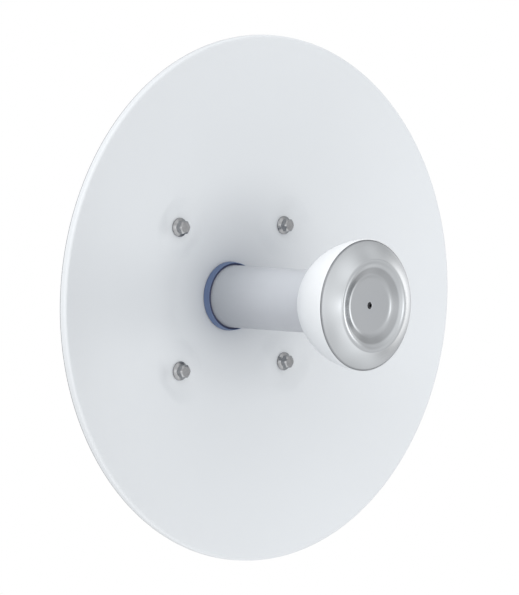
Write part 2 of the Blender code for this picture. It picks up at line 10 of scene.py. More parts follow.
import bpy
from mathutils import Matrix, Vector


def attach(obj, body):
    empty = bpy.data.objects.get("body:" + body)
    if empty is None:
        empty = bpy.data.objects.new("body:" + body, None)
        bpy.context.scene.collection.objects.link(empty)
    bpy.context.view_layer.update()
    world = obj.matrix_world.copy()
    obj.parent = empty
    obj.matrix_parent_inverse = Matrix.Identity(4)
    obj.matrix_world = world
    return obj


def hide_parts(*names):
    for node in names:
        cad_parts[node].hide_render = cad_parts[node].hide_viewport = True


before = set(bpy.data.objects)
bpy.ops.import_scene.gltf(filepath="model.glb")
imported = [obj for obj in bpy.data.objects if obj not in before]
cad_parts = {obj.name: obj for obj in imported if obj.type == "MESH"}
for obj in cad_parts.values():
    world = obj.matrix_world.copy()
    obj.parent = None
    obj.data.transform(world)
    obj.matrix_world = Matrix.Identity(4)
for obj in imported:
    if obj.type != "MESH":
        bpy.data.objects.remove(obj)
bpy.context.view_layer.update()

# Where the dish's rim lies, and the shape of the sheet
RIM_Y = -0.165
RIM_RADIUS = 0.210
FOUR_FOCAL_LENGTHS = 0.712
CENTRE_DEPTH = 0.0572
CENTRE_BLEND = 0.0008
SHEET = 0.0015
SHEET_HOLE = 0.0266
FACE_EDGE = 0.2077
LIP_CORNER = 0.0017
LIP_FLARE = radians(7.5)
LIP_DEPTH = 0.0065
# how far in from the lip's end the painted dark outline reaches
RIM_EDGE_PAINTED_BAND = 0.0009

# The flange bolts and their seats in the sheet
BOLT_OFFSET = 0.0577
SEAT_DEPTH = 0.0526
SEAT_RADIUS = 0.0080
SEAT_BLEND = 0.0200
FLANGE_RADIUS = 0.0077
HEAD_HEIGHT = 0.0077

# The feed, all turned round the antenna's axis
TUBE_HEAD_RADIUS = 0.0246
TUBE_FOOT_RADIUS = 0.0258
TUBE_FOOT_DEPTH = 0.0660
BOWL_RADIUS = 0.0507
BOWL_ARC_RADIUS = 0.0660
BOWL_ARC_DEPTH = -0.1020
BOWL_MOUTH_DEPTH = -0.0985
BOWL_WALL = 0.0024
DISC_RADIUS = 0.0496
DISC_EDGE_DEPTH = -0.0996
DISC_BACK_DEPTH = -0.0955
RIDGE_RADIUS = 0.0348
RIDGE_HEIGHT = 0.0080
RIDGE_OUTER_ROUNDING = 0.0020
RIDGE_INNER_ROUNDING = 0.0085
RECESS_RADIUS = 0.0202
RECESS_HEIGHT = 0.0030
RECESS_ROUNDING = 0.0090
FLANK_HOLLOW = 0.36
SCREW_RADIUS = 0.0021

# The housing behind the dish
HUB_RADIUS = 0.050
HUB_FRONT_DEPTH = 0.0590
HUB_BACK_DEPTH = 0.1040
COVER_DEPTH = 0.1043
COVER_SCREW_CIRCLE = 0.0320
GLAND_DEPTH = 0.0840
GLAND_TOP = -0.0543
GLAND_BORE = 0.0042

# The bent steel and its fixings; a thread's shank is a radius, and its apothem half the width across flats
PLATE = 0.003
GAP = 0.0003
Metric = namedtuple("Metric", "shank apothem height pitch")
M6 = Metric(shank=0.0030, apothem=0.0050, height=0.0052, pitch=0.0010)
M8 = Metric(shank=0.0040, apothem=0.0065, height=0.0065, pitch=0.00125)
FRAME_BACK_DEPTH = 0.0620
FRAME_HALF_WIDTH = 0.068
PIVOT_DEPTH = 0.124
PIVOT_Z = 0.016
LOCK_RADIUS = 0.035
TILT_MARKS_RADIUS = 0.0442
JAW_BACK = 0.053
CLAMP_BOLT_X = 0.037
CLAMP_BOLT_Z = 0.017

CORNERS = {"top_left": (-1, 1), "top_right": (1, 1), "bottom_left": (-1, -1), "bottom_right": (1, -1)}
SIDES = {"left": -1, "right": 1}
FORWARDS, BACKWARDS = (0, -1, 0), (0, 1, 0)
DOWNWARDS, UPWARDS = (0, 0, -1), (0, 0, 1)

# Small distances
SAME_POINT = 0.000002  # nearer points of a mesh made here are one
SAME_PACKED_POINT = 0.000005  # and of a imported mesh
STUB_EDGE = 0.00002  # a cut can leave edges as short as this, which would stop a bevel
CUT_ACCURACY = 0.000001
OVERLAP = 0.00005  # a head or nut sits in its washer by this much

# Painted shade on the coats: darker round the hub, at the rim's edge, at the tube's foot and under the tube
# and radome; each with its tint and how far it reaches
HUB_PAINTED_SHADE_CENTRE = (0.014, RIM_Y, 0.008)
HUB_PAINTED_SHADE_REACH = 0.106
HUB_PAINTED_SHADE = (0.65, 0.66, 0.68)
RIM_EDGE_PAINTED_SHADE = (0.42, 0.42, 0.43)
TUBE_FOOT_PAINTED_SHADE_REACH = 0.075
TUBE_FOOT_PAINTED_SHADE = (0.75, 0.76, 0.77)
TUBE_UNDERSIDE_PAINTED_SHADE_REACH = 0.045
TUBE_UNDERSIDE_PAINTED_SHADE = (0.82, 0.82, 0.83)
BOWL_UNDERSIDE_PAINTED_SHADE_REACH = 0.090
BOWL_UNDERSIDE_PAINTED_SHADE = (0.82, 0.83, 0.84)

# The turned disc's painted shade from its middle to its dark, dull edge, at shares of the reach from the
# axis: a darker recess, a darker band on the ridge's inner wall and a painted dark outline at the edge
DISC_ZONE_REACH = 0.050
DISC_PAINTED_SHADES = (
    (0.0, (0.88, 0.88, 0.89)),
    (0.46, (0.90, 0.90, 0.90)),
    (0.50, (0.73, 0.73, 0.73)),
    (0.57, (0.70, 0.70, 0.70)),
    (0.60, (1.0, 1.0, 1.0)),
    (0.972, (1.0, 1.0, 1.0)),
    (0.978, (0.60, 0.60, 0.61)),
)
DULL_EDGE = (0.970, 0.976)
DULL_EDGE_ROUGHNESS = 0.30

# Noise seldom leaves this range, so patterns are spread over it
NOISE_RANGE = (0.3, 0.7)

# The studio's soft lights, painted on its walls: turn from the front, height angle, level and narrowness
EVEN_LIGHT = 0.46
SOFT_LIGHTS = (
    (-108, 0, 0.84, 12),
    (-36, 0, 1.00, 12),
    (0, 0, 0.60, 12),
    (36, 0, 0.50, 12),
    (108, 0, 0.72, 12),
    (144, 0, 0.52, 12),
    (180, 0, 0.76, 12),
    (-90, 40, 3.20, 12),
    (-18, 40, 0.66, 12),
    (18, 40, 0.52, 12),
    (90, 40, 0.42, 12),
    (-36, -40, 1.08, 12),
    (18, -40, 0.38, 12),
    (72, -40, 0.24, 12),
    (0, 90, 0.48, 6),
    (0, -90, 1.80, 6),
    (61, 34, 0.26, 40),
    (71, -34, 0.28, 20),
    (100, 0, 0.32, 30),
    (-84, 0, 1.10, 70),
    (-38, 0, 0.90, 80),
    (16, 0, 1.50, 120),
    (71, 0, 2.10, 60),
)
FLOOR_Z = -2.6
FLOOR_SIZE = 8

# The camera, fitted to the photograph; its sensor and lens are in millimetres
CAMERA_PLACE = (-0.9686, -1.1831, 0.0903)
CAMERA_BACKWARDS = (-0.68068, -0.72985, 0.06314)
CAMERA_SENSOR = 36
CAMERA_LENS = 106.16


# Working with the modelling tools

def leave_edit_mode():
    if bpy.context.object is not None and bpy.context.object.mode != "OBJECT":
        bpy.ops.object.mode_set(mode="OBJECT")


def select_nothing():
    leave_edit_mode()
    bpy.ops.object.select_all(action="DESELECT")


def pick(*pieces):
    """Selects only these pieces and makes the first one active."""
    select_nothing()
    for piece in pieces:
        piece.select_set(True)
    bpy.context.view_layer.objects.active = pieces[0]


def edit_whole():
    """Opens the active piece's mesh with all of it selected."""
    bpy.ops.object.mode_set(mode="EDIT")
    bpy.ops.mesh.select_all(action="SELECT")


def settle(piece):
    """Puts the piece's place into its mesh, so that its object sits at the origin."""
    pick(piece)
    bpy.ops.object.transform_apply(location=True, rotation=True, scale=True)
    return piece


def apply_all(piece):
    pick(piece)
    for modifier in list(piece.modifiers):
        bpy.ops.object.modifier_apply(modifier=modifier.name)


def discard(piece):
    bpy.data.objects.remove(piece)


def draw_out(rings):
    """Extrudes the selected ring through the next rings of (radius, height), one after the other."""
    for (radius, height), (next_radius, next_height) in zip(rings, rings[1:]):
        rise = (0, 0, next_height - height)
        bpy.ops.mesh.extrude_region_move(TRANSFORM_OT_translate={"value": rise})
        if next_radius == 0:
            bpy.ops.mesh.merge(type="CENTER")
        else:
            swell = next_radius / radius
            bpy.ops.transform.resize(value=(swell, swell, 1), center_override=(0, 0, next_height))


def turn_up(name, rings, sides, is_ring=False, is_sheet=False, smooth=35):
    """Draws a turned piece up from its first ring; heights run along +Z until the piece is put in place."""
    select_nothing()
    radius, height = rings[0]
    bpy.ops.mesh.primitive_circle_add(vertices=sides, radius=radius, location=(0, 0, height))
    piece = bpy.context.object
    piece.name = name
    settle(piece)
    edit_whole()
    draw_out(rings)
    if not is_sheet:
        bpy.ops.mesh.select_mode(type="EDGE")
        bpy.ops.mesh.select_all(action="DESELECT")
        bpy.ops.mesh.select_non_manifold(
            use_wire=False, use_multi_face=False, use_non_contiguous=False, use_verts=False
        )
        if is_ring:
            bpy.ops.mesh.bridge_edge_loops()
        else:
            bpy.ops.mesh.edge_face_add()
    bpy.ops.mesh.select_all(action="SELECT")
    bpy.ops.mesh.normals_make_consistent(inside=False)
    leave_edit_mode()
    bpy.ops.object.shade_smooth_by_angle(angle=radians(smooth))
    return piece


def stand(piece, point, direction):
    """Moves a piece that was drawn up along +Z so that it starts at point and runs along direction."""
    piece.rotation_mode = "QUATERNION"
    piece.rotation_quaternion = Vector(direction).to_track_quat("Z", "Y")
    piece.location = point
    return settle(piece)


def another(piece, name):
    """A copy with a mesh of its own."""
    pick(piece)
    bpy.ops.object.duplicate()
    copy = bpy.context.object
    copy.name = name
    return copy


def face_front(piece):
    """Turns a piece that was drawn up along +Z so that its heights count forwards from the rim's plane."""
    piece.rotation_euler = (pi / 2, 0, 0)
    piece.location = (0, RIM_Y, 0)
    return settle(piece)


def evenly(start, end, steps):
    """Values in even steps up to the end, without the start."""
    return [start + (end - start) * step / steps for step in range(1, steps + 1)]


def arc(centre_radius, centre_height, radius, start, end, steps):
    """Points (radius, height) on an arc; angle 0 points outwards and 90 degrees points up."""
    turns = [start + (end - start) * step / steps for step in range(steps + 1)]
    return [(centre_radius + radius * cos(turn), centre_height + radius * sin(turn)) for turn in turns]


def combine(target, tool, operation):
    """Joins or cuts target with tool, and removes tool."""
    boolean = target.modifiers.new("combine", "BOOLEAN")
    boolean.operation = operation
    boolean.object = tool
    boolean.solver = "EXACT"
    apply_all(target)
    discard(tool)


def merge_points(piece, reach):
    """Merges the points that lie on each other, and takes out the faces with no area that this leaves."""
    pick(piece)
    edit_whole()
    bpy.ops.mesh.remove_doubles(threshold=reach)
    bpy.ops.mesh.dissolve_degenerate(threshold=reach)
    leave_edit_mode()


def round_edges(piece, width, segments=2, angle=35):
    """Breaks the edges that are sharper than the angle with a small bevel."""
    merge_points(piece, STUB_EDGE)
    bevel = piece.modifiers.new("broken edges", "BEVEL")
    bevel.width = width
    bevel.segments = segments
    bevel.limit_method = "ANGLE"
    bevel.angle_limit = radians(angle)
    apply_all(piece)
    merge_points(piece, SAME_POINT)
    bpy.ops.object.shade_smooth_by_angle(angle=radians(angle))


def join(target, *others):
    """Puts closed shapes that sit in each other into one piece."""
    pick(target, *others)
    bpy.ops.object.join()
    return target


def block(size, point):
    """A block for a cut, at its size and place."""
    select_nothing()
    bpy.ops.mesh.primitive_cube_add(size=1, location=point)
    piece = bpy.context.object
    piece.scale = size
    return settle(piece)


def add_piece(piece, material, slot, *nodes):
    """Gives a finished piece its material and its place in the model."""
    piece.data.materials.clear()
    piece.data.materials.append(material)
    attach(piece, "root")
    if nodes:
        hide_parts(*nodes)


# Materials

def opaque(colour):
    return (*colour, 1)


def darker(colour, share):
    return [value * share for value in colour]


class Wiring:
    """A node tree, with the nodes that both finishes and lights use."""

    def __init__(self, tree):
        self.nodes = tree.nodes
        self.links = tree.links

    def feed(self, socket, value):
        """Links a socket to another node's output, or sets it to a plain value."""
        if isinstance(value, bpy.types.NodeSocket):
            self.links.new(value, socket)
        else:
            socket.default_value = value

    def maths(self, operation, first, second):
        node = self.nodes.new("ShaderNodeMath")
        node.operation = operation
        self.feed(node.inputs[0], first)
        self.feed(node.inputs[1], second)
        return node.outputs["Value"]

    def vector_maths(self, operation, first, second=None, result="Vector"):
        node = self.nodes.new("ShaderNodeVectorMath")
        node.operation = operation
        self.feed(node.inputs[0], first)
        if second is not None:
            self.feed(node.inputs[1], second)
        return node.outputs[result]

    def remap(self, value, old, new, interpolation="LINEAR"):
        """Maps the old range onto the new one, level outside it."""
        node = self.nodes.new("ShaderNodeMapRange")
        node.interpolation_type = interpolation
        for name, limit in zip(("From Min", "From Max", "To Min", "To Max"), (*old, *new)):
            node.inputs[name].default_value = limit
        self.feed(node.inputs["Value"], value)
        return node.outputs["Result"]


class Finish(Wiring):
    """A Principled material with its pattern in Object coordinates."""

    def __init__(self, name, roughness, metallic=0.0, specular=0.5):
        self.material = bpy.data.materials.new(name)
        self.material.use_nodes = True
        super().__init__(self.material.node_tree)
        self.colour = None
        self.shader = self.nodes["Principled BSDF"]
        self.shader.inputs["Roughness"].default_value = roughness
        self.shader.inputs["Metallic"].default_value = metallic
        self.shader.inputs["Specular IOR Level"].default_value = specular
        self.coordinates = self.nodes.new("ShaderNodeTexCoord")
        self.place = self.coordinates.outputs["Object"]

    def noise(self, scale, detail):
        """Clouds with about this many lumps a metre."""
        texture = self.nodes.new("ShaderNodeTexNoise")
        texture.inputs["Scale"].default_value = scale
        texture.inputs["Detail"].default_value = detail
        self.feed(texture.inputs["Vector"], self.place)
        return texture.outputs["Fac"]

    def rings(self, radius, scale, detail):
        """Uneven rings with about this many lines a metre of radius."""
        texture = self.nodes.new("ShaderNodeTexNoise")
        texture.noise_dimensions = "1D"
        texture.inputs["Scale"].default_value = scale
        texture.inputs["Detail"].default_value = detail
        self.feed(texture.inputs["W"], radius)
        return texture.outputs["Fac"]

    def tint_along(self, factor, stops):
        """Blends from tint to tint at the given places of the factor."""
        ramp = self.nodes.new("ShaderNodeValToRGB")
        elements = ramp.color_ramp.elements
        elements[0].position = stops[0][0]
        elements[1].position = stops[-1][0]
        for position, _ in stops[1:-1]:
            elements.new(position)
        for element, (_, tint) in zip(elements, stops):
            element.color = opaque(tint)
        self.feed(ramp.inputs["Fac"], factor)
        return ramp.outputs["Color"]

    def blend_colours(self, factor, first, second):
        return self.tint_along(factor, list(zip(NOISE_RANGE, (first, second))))

    def paint(self, colour):
        """Gives the surface its colour, and keeps it for the shades that go over it."""
        self.colour = colour
        self.feed(self.shader.inputs["Base Color"], colour)

    def shade(self, share, tint):
        """Multiplies the colour by a tint, as far as share says."""
        mix = self.nodes.new("ShaderNodeMix")
        mix.data_type = "RGBA"
        mix.blend_type = "MULTIPLY"
        self.feed(mix.inputs["Factor"], share)
        self.feed(mix.inputs["A"], self.colour)
        self.feed(mix.inputs["B"], tint)
        self.paint(mix.outputs["Result"])

    def vary_roughness(self, factor, low, high):
        self.feed(self.shader.inputs["Roughness"], self.remap(factor, NOISE_RANGE, (low, high)))

    def raise_grain(self, height, strength, distance):
        bump = self.nodes.new("ShaderNodeBump")
        bump.inputs["Strength"].default_value = strength
        bump.inputs["Distance"].default_value = distance
        self.feed(bump.inputs["Height"], height)
        self.feed(self.shader.inputs["Normal"], bump.outputs["Normal"])

    def distance_from(self, centre, directions):
        """Distance from a centre, counted only along the directions that are 1 and not 0."""
        offset = self.vector_maths("SUBTRACT", self.place, centre)
        counted = self.vector_maths("MULTIPLY", offset, directions)
        return self.vector_maths("LENGTH", counted, result="Value")

    def fall_off(self, distance, reach):
        """1 at the centre, and softly down to 0 at the reach."""
        return self.remap(distance, (0, reach), (1, 0), "SMOOTHSTEP")

    def faces_front(self):
        """1 on faces that look forwards, and 0 on the others."""
        front = self.nodes.new("ShaderNodeSeparateXYZ")
        self.feed(front.inputs["Vector"], self.coordinates.outputs["Normal"])
        return self.maths("LESS_THAN", front.outputs["Y"], 0)


def powder_coat(name, level, tint):
    """Satin powder coat: an even colour with a fine orange-peel skin."""
    coat = Finish(name, 0.42)
    clouds = coat.noise(scale=9, detail=3)
    coat.paint(coat.blend_colours(clouds, darker(darker(tint, 0.985), level), darker(tint, level)))
    coat.vary_roughness(coat.noise(scale=60, detail=3), 0.40, 0.48)
    coat.raise_grain(coat.noise(scale=1400, detail=2), strength=0.10, distance=0.0002)
    return coat


def dish_coat(name, level, tint):
    """The dish's coat, with a painted bluish grey shade round the hub on the front, and a painted dark
    outline on the lip's end and cut edge.
    """
    coat = powder_coat(name, level, tint)
    # painted shade: the front is darker round the hub, where the feed shades the dish
    round_hub = coat.fall_off(coat.distance_from(HUB_PAINTED_SHADE_CENTRE, (1, 0, 1)), HUB_PAINTED_SHADE_REACH)
    coat.shade(coat.maths("MULTIPLY", round_hub, coat.faces_front()), opaque(HUB_PAINTED_SHADE))
    # painted shade: the lip's last band and its cut edge are greyed into a dark outline round the rim
    from_lip_end = coat.distance_from((0, RIM_Y + LIP_DEPTH, 0), (0, 1, 0))
    at_lip_end = coat.maths("LESS_THAN", from_lip_end, RIM_EDGE_PAINTED_BAND)
    at_rim = coat.maths("GREATER_THAN", coat.distance_from((0, 0, 0), (1, 0, 1)), FACE_EDGE)
    coat.shade(coat.maths("MULTIPLY", at_lip_end, at_rim), opaque(RIM_EDGE_PAINTED_SHADE))
    return coat.material


def moulded_plastic(name, colour, roughness, specular=0.5):
    """Injection-moulded plastic with a fine spark-eroded grain."""
    plastic = Finish(name, roughness, specular=specular)
    plastic.paint(plastic.blend_colours(plastic.noise(scale=30, detail=3), darker(colour, 0.97), colour))
    plastic.vary_roughness(plastic.noise(scale=150, detail=3), roughness - 0.03, roughness + 0.05)
    plastic.raise_grain(plastic.noise(scale=2600, detail=3), strength=0.08, distance=0.0001)
    return plastic


def tube_finish(name, colour, roughness):
    """The tube's plastic, with painted shade near its foot and along its underside."""
    plastic = moulded_plastic(name, colour, roughness)
    # painted shade: darker near the collar, where the dish shades the tube
    from_foot = plastic.distance_from((0, RIM_Y + CENTRE_DEPTH, 0), (0, 1, 0))
    plastic.shade(plastic.fall_off(from_foot, TUBE_FOOT_PAINTED_SHADE_REACH), opaque(TUBE_FOOT_PAINTED_SHADE))
    # painted shade: darker towards the underside, away from the light above
    from_below = plastic.distance_from((0, 0, -TUBE_FOOT_RADIUS), (0, 0, 1))
    plastic.shade(plastic.fall_off(from_below, TUBE_UNDERSIDE_PAINTED_SHADE_REACH), opaque(TUBE_UNDERSIDE_PAINTED_SHADE))
    return plastic.material


def radome_finish(name, colour, roughness):
    """The radome's plastic, with painted shade along its underside."""
    plastic = moulded_plastic(name, colour, roughness)
    # painted shade: darker towards the underside, away from the light above
    from_below = plastic.distance_from((0, 0, -BOWL_RADIUS), (0, 0, 1))
    plastic.shade(plastic.fall_off(from_below, BOWL_UNDERSIDE_PAINTED_SHADE_REACH), opaque(BOWL_UNDERSIDE_PAINTED_SHADE))
    return plastic.material


def turned_metal(name, colour, roughness):
    """Aluminium turned on a lathe: very fine rings round the axis, painted shade in darker bands and a
    painted dark outline on the dull edge.
    """
    metal = Finish(name, roughness, metallic=1.0)
    radius = metal.distance_from((0, 0, 0), (1, 0, 1))
    rings = metal.rings(radius, scale=5200, detail=2)
    metal.paint(metal.blend_colours(metal.noise(scale=25, detail=2), darker(colour, 0.96), colour))
    across = metal.maths("DIVIDE", radius, DISC_ZONE_REACH)
    # painted shade: the recess, the ridge's inner wall and the outer edge are darkened, as their reflections
    # are darker
    metal.shade(1, metal.tint_along(across, DISC_PAINTED_SHADES))
    turned = metal.remap(rings, NOISE_RANGE, (roughness - 0.02, roughness + 0.03))
    dull_edge = metal.remap(across, DULL_EDGE, (0, DULL_EDGE_ROUGHNESS))
    metal.feed(metal.shader.inputs["Roughness"], metal.maths("ADD", turned, dull_edge))
    metal.raise_grain(rings, strength=0.015, distance=0.0001)
    return metal.material


def plated_steel(name, colour, roughness):
    """Zinc or stainless fixings: slightly cloudy metal with fine wear."""
    steel = Finish(name, roughness, metallic=1.0)
    steel.paint(steel.blend_colours(steel.noise(scale=420, detail=4), darker(colour, 0.82), colour))
    steel.vary_roughness(steel.noise(scale=900, detail=3), roughness - 0.04, roughness + 0.06)
    steel.raise_grain(steel.noise(scale=2400, detail=2), strength=0.08, distance=0.0001)
    return steel.material


# The dish

def sheet_depth(radius):
    """Depth of the dish's front face: a paraboloid that runs smoothly into a flat centre."""
    bowl = (RIM_RADIUS**2 - radius**2) / FOUR_FOCAL_LENGTHS
    return (bowl + CENTRE_DEPTH - sqrt((bowl - CENTRE_DEPTH) ** 2 + CENTRE_BLEND**2)) / 2


def dish(material):
    """Spun sheet with a lip that turns back round a small corner, and four flats pressed in for bolts."""
    # The rings lie closest where the seats are pressed in
    seats_start, seats_end = 0.056, 0.108
    radii = [SHEET_HOLE] + evenly(SHEET_HOLE, seats_start, 9)
    radii += evenly(seats_start, seats_end, 26) + evenly(seats_end, FACE_EDGE, 18)
    rings = [(radius, -sheet_depth(radius)) for radius in radii]

    slope = 2 * FACE_EDGE / FOUR_FOCAL_LENGTHS
    corner_radius = FACE_EDGE + LIP_CORNER * sin(slope)
    corner_height = -sheet_depth(FACE_EDGE) - LIP_CORNER * cos(slope)
    corner = arc(corner_radius, corner_height, LIP_CORNER, pi / 2 + slope, LIP_FLARE, 10)[1:]
    lip_radius, lip_height = corner[-1]
    end_radius = lip_radius + (LIP_DEPTH + lip_height) * tan(LIP_FLARE)
    middle = ((lip_radius + end_radius) / 2, (lip_height - LIP_DEPTH) / 2)
    rings += corner + [middle, (end_radius, -LIP_DEPTH)]

    sheet = face_front(turn_up("dish", rings, sides=256, is_sheet=True))
    for across, up in CORNERS.values():
        press_seat(sheet, Vector((across * BOLT_OFFSET, RIM_Y + SEAT_DEPTH, up * BOLT_OFFSET)))
    thickness = sheet.modifiers.new("sheet", "SOLIDIFY")
    thickness.thickness = SHEET
    thickness.offset = -1
    thickness.use_even_offset = True
    apply_all(sheet)
    round_edges(sheet, width=0.0006, segments=3, angle=60)
    add_piece(sheet, material, "white_paint", "reflector")


def press_seat(sheet, seat):
    """Flattens the sheet round a bolt, and lets the flat run out softly into the bowl."""
    pick(sheet)
    for vert in sheet.data.vertices:
        off = (vert.co - seat) * Vector((1, 0, 1))
        vert.select = off.length < SEAT_RADIUS
    for edge in sheet.data.edges:
        edge.select = False
    for face in sheet.data.polygons:
        face.select = False
    bpy.ops.object.mode_set(mode="EDIT")
    bpy.ops.mesh.select_mode(type="VERT")
    bpy.ops.transform.resize(
        value=(1, 0, 1), center_override=seat, use_proportional_edit=True,
        proportional_edit_falloff="SMOOTH", proportional_size=SEAT_BLEND,
    )
    leave_edit_mode()


# The feed

def collar(material, rubber):
    """Coned ring that seats the tube in the dish, and the dark lip seal between the ring and the tube."""
    bore = TUBE_FOOT_RADIUS + 0.0003
    groove = TUBE_FOOT_RADIUS + 0.0014
    foot = CENTRE_DEPTH - 0.0004
    rings = [(bore, -foot), (0.0284, -foot)]
    rings += arc(0.0282, -foot + 0.0005, 0.0003, radians(-60), radians(6), 3)
    rings += [(0.02850, -0.0556), (0.02825, -0.0546), (0.02785, -0.0514)]
    rings += arc(0.02755, -0.0512, 0.00035, radians(12), radians(168), 7)
    rings += [(groove, -0.0516), (groove, -0.0540), (bore, -0.0540)]
    piece = face_front(turn_up("feed_collar_ring", rings, sides=128, is_ring=True, smooth=25))
    add_piece(piece, material, "blue_plastic", "feed_collar")

    bore = TUBE_FOOT_RADIUS + 0.0001
    wall = groove - 0.0001
    lip = [(bore, -0.0538), (wall, -0.0538), (wall, -0.0519), (wall - 0.0002, -0.0516)]
    lip += [(bore + 0.0006, -0.0513), (bore + 0.0003, -0.0508), (bore + 0.0001, -0.0507), (bore, -0.0508)]
    piece = face_front(turn_up("collar_seal", lip, sides=128, is_ring=True, smooth=50))
    add_piece(piece, rubber, "black_plastic")


def tube(material):
    """Long tapered tube from the housing to the radome's neck."""
    head = bowl_neck_depth()
    slope = (TUBE_FOOT_RADIUS - TUBE_HEAD_RADIUS) / (CENTRE_DEPTH - head)
    rings = [(TUBE_FOOT_RADIUS - 0.0004, -TUBE_FOOT_DEPTH)]
    depths = [TUBE_FOOT_DEPTH - 0.0004, CENTRE_DEPTH] + evenly(CENTRE_DEPTH, head + 0.0003, 12)
    for depth in depths:
        rings.append((min(TUBE_HEAD_RADIUS + (depth - head) * slope, TUBE_FOOT_RADIUS), -depth))
    piece = face_front(turn_up("feed_tube_skin", rings, sides=128))
    add_piece(piece, material, "white_plastic", "feed_tube")


def bowl_radius(depth):
    return BOWL_RADIUS - BOWL_ARC_RADIUS + sqrt(BOWL_ARC_RADIUS**2 - (depth - BOWL_ARC_DEPTH) ** 2)


def bowl_neck_depth():
    """Depth at which the bowl is as narrow as the tube."""
    neck_arc = BOWL_ARC_RADIUS + TUBE_HEAD_RADIUS - BOWL_RADIUS
    return BOWL_ARC_DEPTH + sqrt(BOWL_ARC_RADIUS**2 - neck_arc**2)


def radome(material):
    """Thin bowl that runs from the tube's end to a rounded bead round the sub-reflector."""
    neck = bowl_neck_depth()
    depths = [neck] + evenly(neck, BOWL_MOUTH_DEPTH, 40)
    outside = [(bowl_radius(depth), -depth) for depth in depths]
    seat = DISC_RADIUS + 0.0002
    bead = 0.5 * (outside[-1][0] - seat)
    lip = arc(seat + bead, -BOWL_MOUTH_DEPTH + 0.0002, bead, radians(20), radians(180), 6)
    ledge = -DISC_BACK_DEPTH - 0.0003
    inner_mouth, inner_wall = -0.0925, BOWL_WALL + 0.0008
    inside = [(seat, ledge), (seat - 0.0030, ledge)]
    for depth in evenly(inner_mouth, neck - BOWL_WALL, 20):
        inside.append((bowl_radius(depth) - inner_wall, -depth))
    piece = face_front(turn_up("radome_bowl", outside + lip + inside, sides=160, smooth=40))
    add_piece(piece, material, "radome_plastic", "radome")


def sub_reflector(material):
    """Turned disc: a dished flank up to a rounded ridge, and a flat recess with the screw's hole in it."""
    back = -DISC_BACK_DEPTH
    edge = -DISC_EDGE_DEPTH
    floor = edge + RECESS_HEIGHT
    top = edge + RIDGE_HEIGHT
    shoulder = arc(DISC_RADIUS - 0.0007, edge - 0.0005, 0.0007, 0.0, radians(70), 6)
    ridge = arc(
        RIDGE_RADIUS, top - RIDGE_OUTER_ROUNDING, RIDGE_OUTER_ROUNDING, radians(54), radians(90), 8
    )
    ridge += arc(
        RIDGE_RADIUS, top - RIDGE_INNER_ROUNDING, RIDGE_INNER_ROUNDING, radians(90), radians(115), 16
    )[1:]
    fillet = arc(RECESS_RADIUS, floor + RECESS_ROUNDING, RECESS_ROUNDING, radians(-65), radians(-90), 14)
    hole = 0.00235
    middle = [(0.0130, floor), (0.0060, floor), (0.0027, floor)]
    middle += [(hole, floor - 0.0003), (hole, floor - 0.0045)]

    rings = [(DISC_RADIUS - 0.0004, back), (DISC_RADIUS, back + 0.0004)] + shoulder
    (low_radius, low_height), (high_radius, high_height) = shoulder[-1], ridge[0]
    rise = high_height - low_height
    for share in evenly(0.0, 1.0, 24)[:-1]:
        climb = (1 - FLANK_HOLLOW) * share + FLANK_HOLLOW * share**2
        rings.append((low_radius + (high_radius - low_radius) * share, low_height + rise * climb))
    rings += ridge + fillet + middle
    piece = face_front(turn_up("sub_reflector_disc", rings, sides=192, smooth=30))
    add_piece(piece, material, "satin_metal", "sub_reflector")


def centre_screw(material):
    """Small socket screw in the middle of the disc."""
    floor = -DISC_EDGE_DEPTH + RECESS_HEIGHT
    rings = [(SCREW_RADIUS, floor - 0.0044), (SCREW_RADIUS, floor)]
    rings += arc(SCREW_RADIUS - 0.0005, floor, 0.0005, radians(20), radians(90), 5)
    screw = turn_up("centre_screw_head", rings, sides=48)
    combine(screw, hexagon("socket", 0.0011, floor - 0.0018, floor + 0.002), "DIFFERENCE")
    round_edges(screw, width=0.0001, angle=40)
    face_front(screw)
    add_piece(screw, material, "dark_steel", "centre_screw")


# Fixings, drawn up along +Z from the face that they bear on

def across_corners(apothem):
    """Half the width of a hexagon across its corners."""
    return apothem / cos(pi / 6)


def hexagon(name, apothem, low, high):
    select_nothing()
    bpy.ops.mesh.primitive_cylinder_add(
        vertices=6, radius=across_corners(apothem), depth=high - low, location=(0, 0, (low + high) / 2)
    )
    bpy.context.object.name = name
    return settle(bpy.context.object)


def turned_hexagon(name, apothem, low, high, dimple=False, is_nut=False, crown=0.94, slope=30):
    """A hexagon whose corners are turned off at a slope, down to a round crown, as forged heads have them."""
    corner = across_corners(apothem) + 0.0001
    flat = crown * apothem
    drop = (corner - flat) * tan(radians(slope))
    rings = [(corner, low), (corner, high - drop), (flat, high)]
    if is_nut:
        rings[0:1] = [(flat, low), (corner, low + drop)]
    if dimple:
        rings += [(0.7 * flat, high), (0.6 * flat, high - 0.0004)]
    barrel = turn_up(name, rings, sides=72)
    combine(barrel, hexagon("corners", apothem, low - 0.001, high + 0.001), "INTERSECT")
    return barrel


